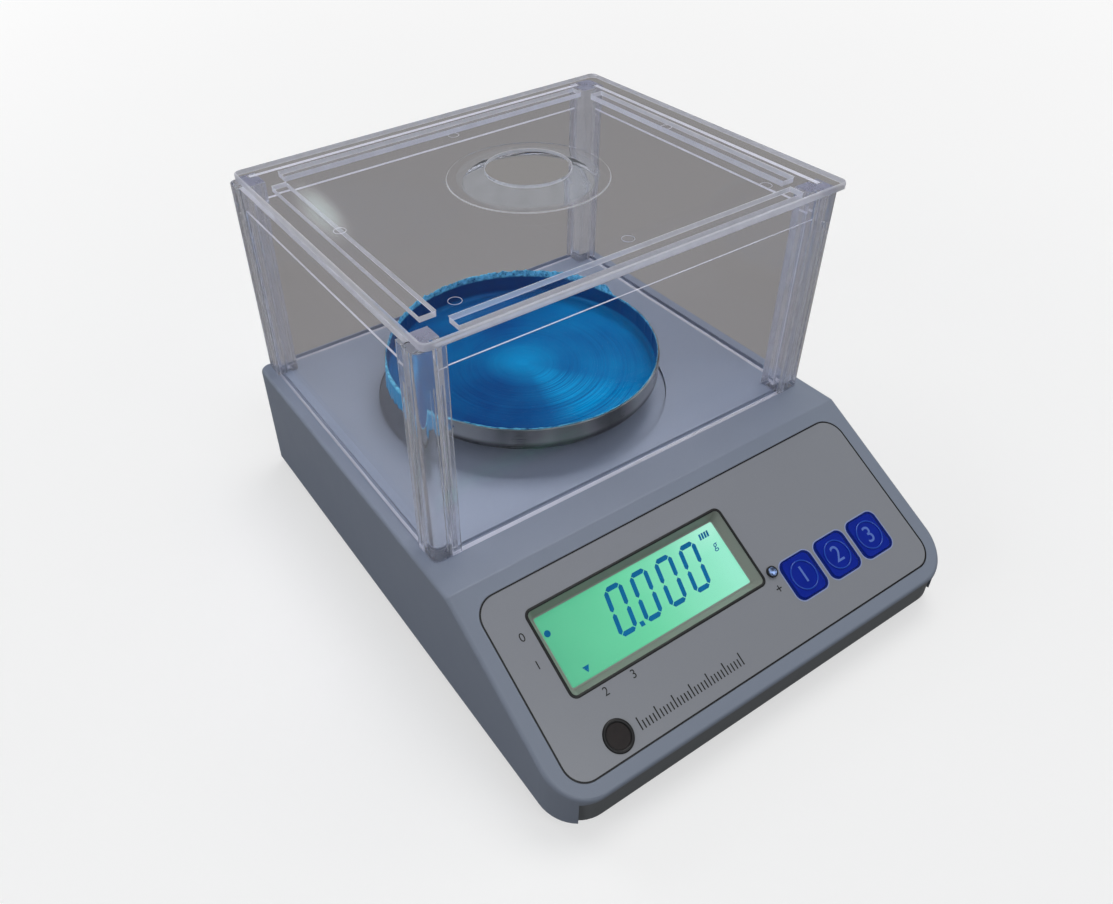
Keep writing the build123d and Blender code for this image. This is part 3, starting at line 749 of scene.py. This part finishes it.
def bar_grower():
    """Upright bars on points; every so many, one is taller."""
    sizes = {"Width": "Float", "Height": "Float", "Thickness": "Float"}
    tree = Grower("bars", {**sizes, "Every": "Int", "Growth": "Float"})
    size = tree.vector(tree.given("Width"), tree.given("Height"), tree.given("Thickness"))
    bar = tree.node("GeometryNodeMeshCube", {}, {"Size": size})
    lift_up = tree.vector(0.0, tree.maths("MULTIPLY", tree.given("Height"), 0.5))
    bar = tree.node("GeometryNodeTransform", {}, {"Geometry": bar, "Translation": lift_up})
    rest = tree.maths("MODULO", tree.node("GeometryNodeInputIndex"), tree.given("Every"))
    extra = tree.maths("MULTIPLY", tree.maths("LESS_THAN", rest, 0.5), tree.given("Growth"))
    return tree.close(bar, Scale=tree.vector(1.0, tree.maths("ADD", extra, 1.0), 1.0))


def ring_grower():
    """Thin round beads on points, such as the marks that ejector pins leave."""
    tree = Grower("rings", {"Radius": "Float", "Bead": "Float"})
    curves = []
    for label, steps in (("Radius", 32), ("Bead", 8)):
        values = {"Resolution": steps, "Radius": tree.given(label)}
        curves.append(tree.node("GeometryNodeCurvePrimitiveCircle", {}, values))
    values = {"Curve": curves[0], "Profile Curve": curves[1]}
    return tree.close(tree.node("GeometryNodeCurveToMesh", {}, values))


def cross_grower():
    """Cross recesses on points, for screw heads."""
    tree = Grower("crosses", {"Length": "Float", "Width": "Float", "Thickness": "Float"})
    size = tree.vector(tree.given("Length"), tree.given("Width"), tree.given("Thickness"))
    bar = tree.node("GeometryNodeMeshCube", {}, {"Size": size})
    values = {"Geometry": bar, "Rotation": (0.0, 0.0, pi / 2)}
    turned = tree.node("GeometryNodeTransform", {}, values)
    both = tree.node("GeometryNodeMeshBoolean", {"operation": "UNION"}, {"Mesh": bar})
    tree.tree.links.new(turned, both.node.inputs["Mesh"])
    return tree.close(both)


# Control panel

def make_panel_prints():
    outline = rounded(film_width, film_height, film_round, 12)
    inset = 2 * border_line
    inside = rounded(film_width - inset, film_height - inset, film_round - border_line, 12)
    panel_ring("panel_border", 0, film_down, outline, inside, print_foot, 0.03, black_ink)
    outline = rounded(display_width, display_height, display_round)
    place = (display_x, display_down)
    panel_bead("display_border", *place, outline, 0.6, 0.3, black_ink, "housing", "panel_film")


def make_window_wall():
    """Leaning wall from the window's edge down to a narrow frame on the glass, and back up."""
    window, glass = (display_width, display_height), (glass_width, glass_height)
    foot, frame_round = -display_depth, 0.8
    loops = []
    for (width, height), trim, radius, up in (
        (window, 0.3, display_round, print_foot),
        (glass, 0.0, glass_round, foot + 0.02),
        (glass, 1.6, frame_round, foot + 0.05),
        (glass, 1.6, frame_round, foot + 0.25),
        (glass, 0.4, glass_round, foot + 0.3),
        (window, 0.8, display_round, print_foot),
    ):
        outline = rounded(width - trim, height - trim, radius)
        loops.append(panel_loop(display_x, display_down, outline, up))
    piece("window_wall", *loops_to_mesh(loops), "housing", "panel_film", window_wall_painted_glow)


def make_display_cover():
    """Thin clear sheet over the glass, with its edges taken off."""
    gap, low, high, edge = 0.5, -4.75, -4.3, 0.25
    loops = []
    for inset, up in ((edge, low), (0.0, low + 0.05), (0.0, high - 0.05), (edge, high)):
        trim = 2 * (gap + inset)
        outline = rounded(glass_width - trim, glass_height - trim, glass_round, 6)
        loops.append(panel_loop(display_x, display_down, outline, up))
    mesh = loops_to_mesh(loops, False)
    cover = piece("display_cover", *mesh, "housing", "clear_plastic", display_clear)
    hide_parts("display_lens")


def hexagon(start, end, half):
    """A display segment: a bar with pointed ends."""
    start, end = Vector(start), Vector(end)
    along = (end - start).normalized()
    side = Vector((-along.y, along.x)) * half
    tip = along * half
    return [start, start + tip + side, end - tip + side, end, end - tip - side, start + tip - side]


def slanted(points, base):
    """Leans points to the right, the more the higher they are over a base line."""
    return [(p[0] + (base - p[1]) * digit_lean, p[1]) for p in points]


def zero_segments(left):
    """The six lit bars of a nought, leaning to the right, as outlines of (x, down)."""
    right, bar = left + digit_width, digit_bar
    top, mid, low = digit_base - digit_height, digit_base - digit_height / 2, digit_base
    room = digit_gap + bar
    bars = [((left + room, y), (right - room, y)) for y in (top + bar, low - bar)]
    for x in (left + bar, right - bar):
        bars += [((x, top + room), (x, mid - digit_gap)), ((x, mid + digit_gap), (x, low - room))]
    return [slanted(hexagon(start, end, bar), digit_base) for start, end in bars]


def make_display_marks():
    depth, slot = -glass_top, "display_glass"
    bars = []
    for place in range(digit_count):
        bars += zero_segments(digit_left + place * digit_pitch)
    point_left = digit_left + digit_width + point_gap
    bars.append(oblong(point_left, digit_base - point_size, point_size, point_size))
    panel_plates("display_digits", bars, depth - 0.01, depth + 0.06, segment_ink, slot)
    signs = [[(spot_x + a, spot_down + b) for a, b in circle(spot_radius, 24)]]
    arrow = [(arrow_x - arrow_half, arrow_down), (arrow_x + arrow_half, arrow_down)]
    signs.append([*arrow, (arrow_x, arrow_down + arrow_height)])
    for k in range(charge_count):
        left = charge_left + k * charge_pitch
        bar = oblong(left, charge_top, charge_width, charge_height)
        signs.append(slanted(bar, charge_top + charge_height))
    panel_plates("display_signs", signs, depth - 0.01, depth + 0.06, segment_ink, slot)
    place = (unit_x, unit_down, depth)
    panel_text("display_unit", "g", unit_size, *place, 0.05, segment_ink, "housing", slot, digit_lean)


def make_panel_marks():
    for name, sign, size, x, down in panel_signs:
        panel_text(name, sign, size, x, down, 0.0, 0.04, black_ink, "housing", "panel_film")


def make_key_prints():
    """Numeral, blue field, pale halo and raised thumb ring of each key; the ring's lighter blue is a
    painted highlight.
    """
    slot = "key_blue"
    gap, field, halo = (rounded(*edge, 10) for edge in (cap_gap, field_edge, halo_edge))
    for name, body, x, sign in zip(key_names, key_bodies, key_xs, "123"):
        place = (x, key_down)
        panel_text(name + "_numeral", sign, numeral_size, *place, key_lift, 0.06, key_ink, body, slot)
        panel_ring(name + "_field", *place, field, gap, print_foot, 0.06, key_field, slot)
        panel_ring(name + "_halo", *place, halo, field, print_foot, 0.04, key_halo)
        thumb = circle(thumb_radius, 64)
        panel_bead(name + "_ring", *place, thumb, 0.3, 0.2, key_shine, body, slot, thumb_lift)


def make_ticks():
    """A graduation along the foot of the panel, with every fifth bar taller."""
    pitch = (tick_last - tick_first) / tick_gaps
    places = [(tick_first + pitch * k, -tick_down, 0) for k in range(tick_gaps + 1)]
    values = {"Width": 0.54, "Height": 3.0, "Thickness": 0.05, "Every": 5, "Growth": 0.6}
    mesh = bar_grower().grow("panel_ticks", places, {**values, "Material": black_ink})
    finish_mesh(lay_on_panel(mesh))
    add("panel_ticks", mesh, "housing")


def make_lamp_and_window():
    outer, inner = circle(lamp_radius + 0.12), circle(lamp_radius - 0.4)
    panel_ring("lamp_ring", lamp_x, lamp_down, outer, inner, print_foot, 0.95, black_ink)
    name, rim = "round_window_ring", circle(dial_radius + 0.1, 64)
    panel_bead(name, dial_x, dial_down, rim, 0.75, 0.5, black_ink, "housing", "panel_film")


# Marks on the back, under the lid and on the underside

def make_rocker_marks():
    """I over O on the two faces of the power rocker, seen from behind."""
    swing, lean = radians(-rocker_swing / 2), atan2(rocker_rise, rocker_half)
    for name, sign, side in (("rocker_on", "I", 1), ("rocker_off", "O", -1)):
        mesh = text_mesh(name, sign, rocker_sign_size, 0.08)
        for vertex in mesh.vertices:
            across, off = vertex.co.x, vertex.co.z
            climb = side * rocker_sign_up + vertex.co.y
            y = rocker_out + off + abs(climb) * sin(lean)
            z = climb * cos(lean) - side * off * sin(lean)
            y, z = y * cos(swing) - z * sin(swing), y * sin(swing) + z * cos(swing)
            vertex.co = (Vector(rocker_place) + Vector((-across, y, z))) * MM
        add_sign(name, mesh, "rocker", white_ink)


def make_lid_marks():
    places = [(x, y, lid_low) for x, y in pin_spots]
    values = {"Radius": pin_radius, "Bead": pin_bead, "Material": mark_frost}
    mesh = ring_grower().grow("lid_marks", places, values)
    mesh.transform(Matrix.Scale(MM, 4))
    finish_mesh(mesh, 60)
    add("lid_marks", mesh, "lid")


# Black crosses on the screw heads: painted shade in their cross recesses.
def make_screw_crosses():
    places = [(x, y, screw_level) for x, y in screw_spots]
    values = {"Length": 3.2, "Width": 0.8, "Thickness": 0.12, "Material": finishes["switch_black"]}
    mesh = cross_grower().grow("screw_crosses", places, values)
    mesh.transform(Matrix.Scale(MM, 4))
    finish_mesh(mesh)
    add("screw_crosses", mesh, "housing")


def make_blank_plate():
    """Bare label plate stuck on the underside."""
    low, high, edge = foot_gap - 0.06, foot_gap + 0.05, 0.12
    loops = []
    for inset, z in ((edge, low), (0.0, low + 0.03), (0.0, high)):
        outline = rounded(plate_width - 2 * inset, plate_depth - 2 * inset, plate_round, 6)
        loops.append([Vector((plate_x + a, plate_y + b, z)) * MM for a, b in outline])
    piece("blank_plate", *loops_to_mesh(loops, False), "housing", "steel_bright", plate_metal)


# Blue film in the pan

def wander(first, second, third=0.0):
    """Smooth random value, the same each time for the same place."""
    return noise.noise(Vector((first, second, third)))


def lift(turn):
    """Height of the film's torn edge over the rim at a turn about the pan."""
    rough = wander(turn * 0.35, 3.1) * 0.9 + wander(turn * 1.3, 7.7) * 0.55
    if flap_from < turn < flap_to:
        past = turn - flap_from
        stand = flap_height * min(1.0, past / 4.0) * (1.0 - 0.35 * past / (flap_to - flap_from))
    else:
        stand = tuck_height if flap_to <= turn < tuck_to else torn_height
    return max(least_height, stand + rough * (0.35 + stand * 0.28))


def fold(turn):
    """How far the film hangs over the rim outside, 0 to 1."""
    return max(0.0, min(1.0, (turn - fold_from) / 14, (fold_to - turn) / 10))


def liner_edge(turn, pleat, share):
    """A point of the film past the rim, standing up or hung over it, from 0 at the rim to 1."""
    loose, sweep = max(0.0, pleat) * 0.9, 0.4
    out = liner_radius - loose + 0.5 * share * pleat
    stand = Vector((out, pan_height + lift(turn) * share))
    if share < sweep:
        swing = pi * share / sweep
        out = liner_radius + rim_wrap * (1 - cos(swing))
        hang = Vector((out, pan_height + 0.35 * sin(swing)))
    else:
        drop, length = (share - sweep) / (1 - sweep), hang_length + wander(turn * 0.5, 9.0) * 2.2
        out = liner_radius + 2 * rim_wrap + drop * (0.6 + pleat * 0.8)
        hang = Vector((out, pan_height - length * drop))
    return tuple(stand.lerp(hang, fold(turn)))


def liner_section(turn):
    """The film from near its middle outwards, as (reach, height over the pan's foot) pairs."""
    angle = radians(turn)
    pleat = wander(turn * 0.22, 0.0) * 0.5 + wander(turn * 0.8, 4.0) * 0.3
    flat = liner_radius - liner_corner
    section = []
    for k in range(1, floor_steps + 1):
        reach = flat * k / floor_steps
        wave = wander(reach * cos(angle) * 0.05, reach * sin(angle) * 0.05, 2.0)
        section.append((reach, liner_floor + max(0.0, wave) * 0.18 * (k / floor_steps)))
    for k in range(1, corner_steps):
        bend = pi / 2 * k / corner_steps
        section.append((flat + liner_corner * sin(bend), liner_floor + liner_corner * (1 - cos(bend))))
    for k in range(wall_steps + 1):
        share = k / wall_steps
        loose = max(0.0, pleat) * 0.9 * sin(pi * (0.1 + 0.9 * share) / 1.6)
        rise = liner_wall_foot + (pan_height - liner_wall_foot) * share
        section.append((liner_radius - loose, rise))
    for k in range(1, edge_steps + 1):
        section.append(liner_edge(turn, pleat, k / edge_steps))
    return section


def make_blue_film():
    verts = [Vector((pan_x, pan_y, pan_z + liner_floor)) * MM]
    for step in range(liner_turns):
        turn = 360.0 * step / liner_turns
        angle = radians(turn)
        for reach, z in liner_section(turn):
            place = (pan_x + reach * cos(angle), pan_y + reach * sin(angle), pan_z + z)
            verts.append(Vector(place) * MM)
    rows = (len(verts) - 1) // liner_turns
    faces = []
    for step in range(liner_turns):
        here, there = 1 + step * rows, 1 + (step + 1) % liner_turns * rows
        faces.append((0, here, there))
        for k in range(rows - 1):
            faces.append((here + k, here + k + 1, there + k + 1, there + k))
    mesh = bpy.data.meshes.new("blue_film")
    mesh.from_pydata(verts, [], faces)
    finish_mesh(mesh)
    made = placed("blue_film", mesh)
    sheet = made.modifiers.new("sheet", "SOLIDIFY")
    sheet.thickness = liner_sheet * MM
    sheet.offset = 1.0
    apply_modifiers(made)
    made.data.shade_smooth()
    made.data.materials.append(finishes["film_blue"])
    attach(made, "pan")
    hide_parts("pan_film")


# Clear windshield and lid

def softened(node, name, body, looks, width, which_look):
    """A clear CAD part with its sharp edges taken off; which_look picks each face's finish."""
    mesh = nodes[node].data.copy()
    mesh.name = name
    work = bmesh.new()
    work.from_mesh(mesh)
    bmesh.ops.remove_doubles(work, verts=work.verts, dist=2e-6)
    bmesh.ops.dissolve_limit(work, angle_limit=radians(1.0), verts=work.verts, edges=work.edges)
    work.to_mesh(mesh)
    work.free()
    made = placed(name, mesh)
    bevel = made.modifiers.new("bevel", "BEVEL")
    bevel.width = width * MM
    bevel.segments = 3
    bevel.limit_method = "ANGLE"
    bevel.angle_limit = radians(35)
    apply_modifiers(made)
    made.data.shade_smooth()
    made.data.set_sharp_from_angle(angle=radians(40))
    level = made.modifiers.new("level", "WEIGHTED_NORMAL")
    level.keep_sharp = True
    apply_modifiers(made)
    made.data.materials.clear()
    for look in looks:
        made.data.materials.append(look)
    for face in made.data.polygons:
        face.material_index = int(which_look(face))
    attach(made, body)
    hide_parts(node)


def face_spots(face):
    """The corners of a face, in millimetres."""
    return [face.id_data.vertices[k].co / MM for k in face.vertices]


def lid_look(face):
    """0 plate, 1 rim, sides of the ribs and the step, wall of the hole, 2 collar."""
    reach = [Vector((spot.x - lid_x, spot.y - lid_y)).length for spot in face_spots(face)]
    if max(reach) < collar_reach:
        return 1 if max(reach) < hole_reach else 2
    return abs(face.normal.z) <= level_share and min(reach) > step_reach


def panel_look(face):
    """1 for the narrow faces of a panel: top, foot, ends and the step along its top band."""
    narrow = 2.0
    spots = face_spots(face)
    spans = sorted(max(s[k] for s in spots) - min(s[k] for s in spots) for k in range(3))
    return max(abs(face.normal.x), abs(face.normal.y)) < level_share or spans[1] < narrow


def post_look(face):
    """1 for a post's top and foot, and the small steps at the ends of its flutes."""
    return abs(face.normal.z) > 0.5


def make_windshield():
    looks = (post_frost, post_end_frost)
    for corner in corners:
        name = "post_" + corner
        softened(name, "clear_" + name, "windshield", looks, post_edge, post_look)
    looks = (panel_clear, line_frost)
    for side in sides:
        name = side + "_panel"
        softened(name, "clear_" + name, "windshield", looks, panel_edge, panel_look)
    looks = (lid_clear, edge_frost, collar_frost)
    softened("windshield_lid", "clear_lid", "lid", looks, lid_edge, lid_look)


# Stage

def floor_paint():
    """Pale to the camera, grey-brown through clear plastic, and clear from below."""
    paint = Paint("floor", Roughness=0.9)
    mottle = paint.grain(1000 / 3)
    paint.set(Base_Color=paint.mix(mottle, rgb(238, 238, 238), rgb(243, 243, 243)))
    x, y, _ = paint.split(paint.place())
    far = (((x * x + y * y) ** 0.5 - 0.3) * 0.9).clamp() * 0.43 + 0.57
    glow = paint.node("Emission", {}, {"Color": (1.0, 1.0, 1.0, 1.0), "Strength": 1.0})
    white = paint.mix_shaders(far, paint.own_shader(), glow)
    dark = paint.node("BsdfDiffuse", {}, {"Color": rgb(118, 114, 110)})
    seen = paint.node("LightPath", out="Is Camera Ray")
    pale = (seen + seen.of("Is Transmission Ray") * 0.16).clamp()
    both = paint.mix_shaders(pale, dark, white)
    below = paint.node("NewGeometry", out="Backfacing")
    clear = paint.node("BsdfTransparent")
    paint.feed(paint.surface, paint.mix_shaders(below, both, clear))
    return paint.material


def make_floor():
    """Floor that keeps the shadow."""
    reach = floor_reach
    verts = [(-reach, -reach, 0), (reach, -reach, 0), (reach, reach, 0), (-reach, reach, 0)]
    mesh = bpy.data.meshes.new("floor")
    mesh.from_pydata(verts, [], [(0, 1, 2, 3)])
    mesh.materials.append(floor_paint())
    placed("floor", mesh)


class Sky(Paint):
    """The world's nodes, written as a material's are."""

    def __init__(self, name):
        self.use(bpy.data.worlds.new(name), "Background", "World Output")


def make_world():
    """Even studio air, white to the camera, with one soft window that glints in the lid."""
    sky = Sky("studio")
    bpy.context.scene.world = sky.material
    ray = sky.node("TexCoord", out="Generated")
    offset = sky.node("VectorMath", {"operation": "SUBTRACT"}, {0: ray, 1: Vector(glint_way)})
    glint = 1.0
    for axis, spread in glint_axes:
        values = {0: offset, 1: Vector(axis)}
        share = sky.node("VectorMath", {"operation": "DOT_PRODUCT"}, values, out="Value")
        glint = glint - (share / spread) ** 2.0
    glint = glint.clamp() ** 2.0
    colour = sky.mix(glint, (0.97, 0.98, 1.0, 1.0), (0.8, 1.0, 0.98, 1.0))
    sky.set(Color=colour, Strength=glint * glint_level + room_level)
    backdrop = sky.node("Background", {}, {"Color": (1.0, 1.0, 1.0, 1.0), "Strength": 1.0})
    seen = sky.node("LightPath", out="Is Camera Ray")
    sky.feed(sky.surface, sky.mix_shaders(seen, sky.own_shader(), backdrop))


def make_lamps():
    """Soft round lamps, all turned to the middle of the balance."""
    for name, place, size, power, colour, hidden in lamps:
        light = bpy.data.lights.new(name, "AREA")
        light.shape = "DISK"
        light.size = size
        light.energy = power
        light.color = colour
        holder = placed(name, light)
        for ray in hidden:
            setattr(holder, "visible_" + ray, False)
        holder.location = place
        way = Vector(lamp_target) - Vector(place)
        holder.rotation_euler = way.to_track_quat("-Z", "Y").to_euler()


def make_camera():
    az, el, roll = camera_turn, camera_dip, camera_roll
    ahead = Vector((sin(az) * cos(el), cos(az) * cos(el), -sin(el)))
    right = Vector((cos(az), -sin(az), 0.0))
    up = right.cross(ahead)
    across = right * cos(roll) + up * sin(roll)
    above = up * cos(roll) - right * sin(roll)
    data = bpy.data.cameras.new("camera")
    data.sensor_fit, data.sensor_width = "HORIZONTAL", 36.0
    data.lens = camera_focus / photo_width * data.sensor_width
    data.shift_x, data.shift_y = -camera_shift[0] / photo_width, camera_shift[1] / photo_width
    data.clip_start = 0.01
    holder = placed("camera", data)
    turned = Matrix((across, above, -ahead)).transposed().to_4x4()
    turned.translation = Vector(camera_place) * MM
    holder.matrix_world = turned
    bpy.context.scene.camera = holder


dress_cad_nodes()
make_panel_prints()
make_window_wall()
make_display_cover()
make_display_marks()
make_panel_marks()
make_key_prints()
make_ticks()
make_lamp_and_window()
make_rocker_marks()
make_lid_marks()
make_screw_crosses()
make_blank_plate()
make_blue_film()
make_windshield()
make_floor()
make_world()
make_lamps()
make_camera()
bpy.context.scene.view_settings.view_transform = "Standard"
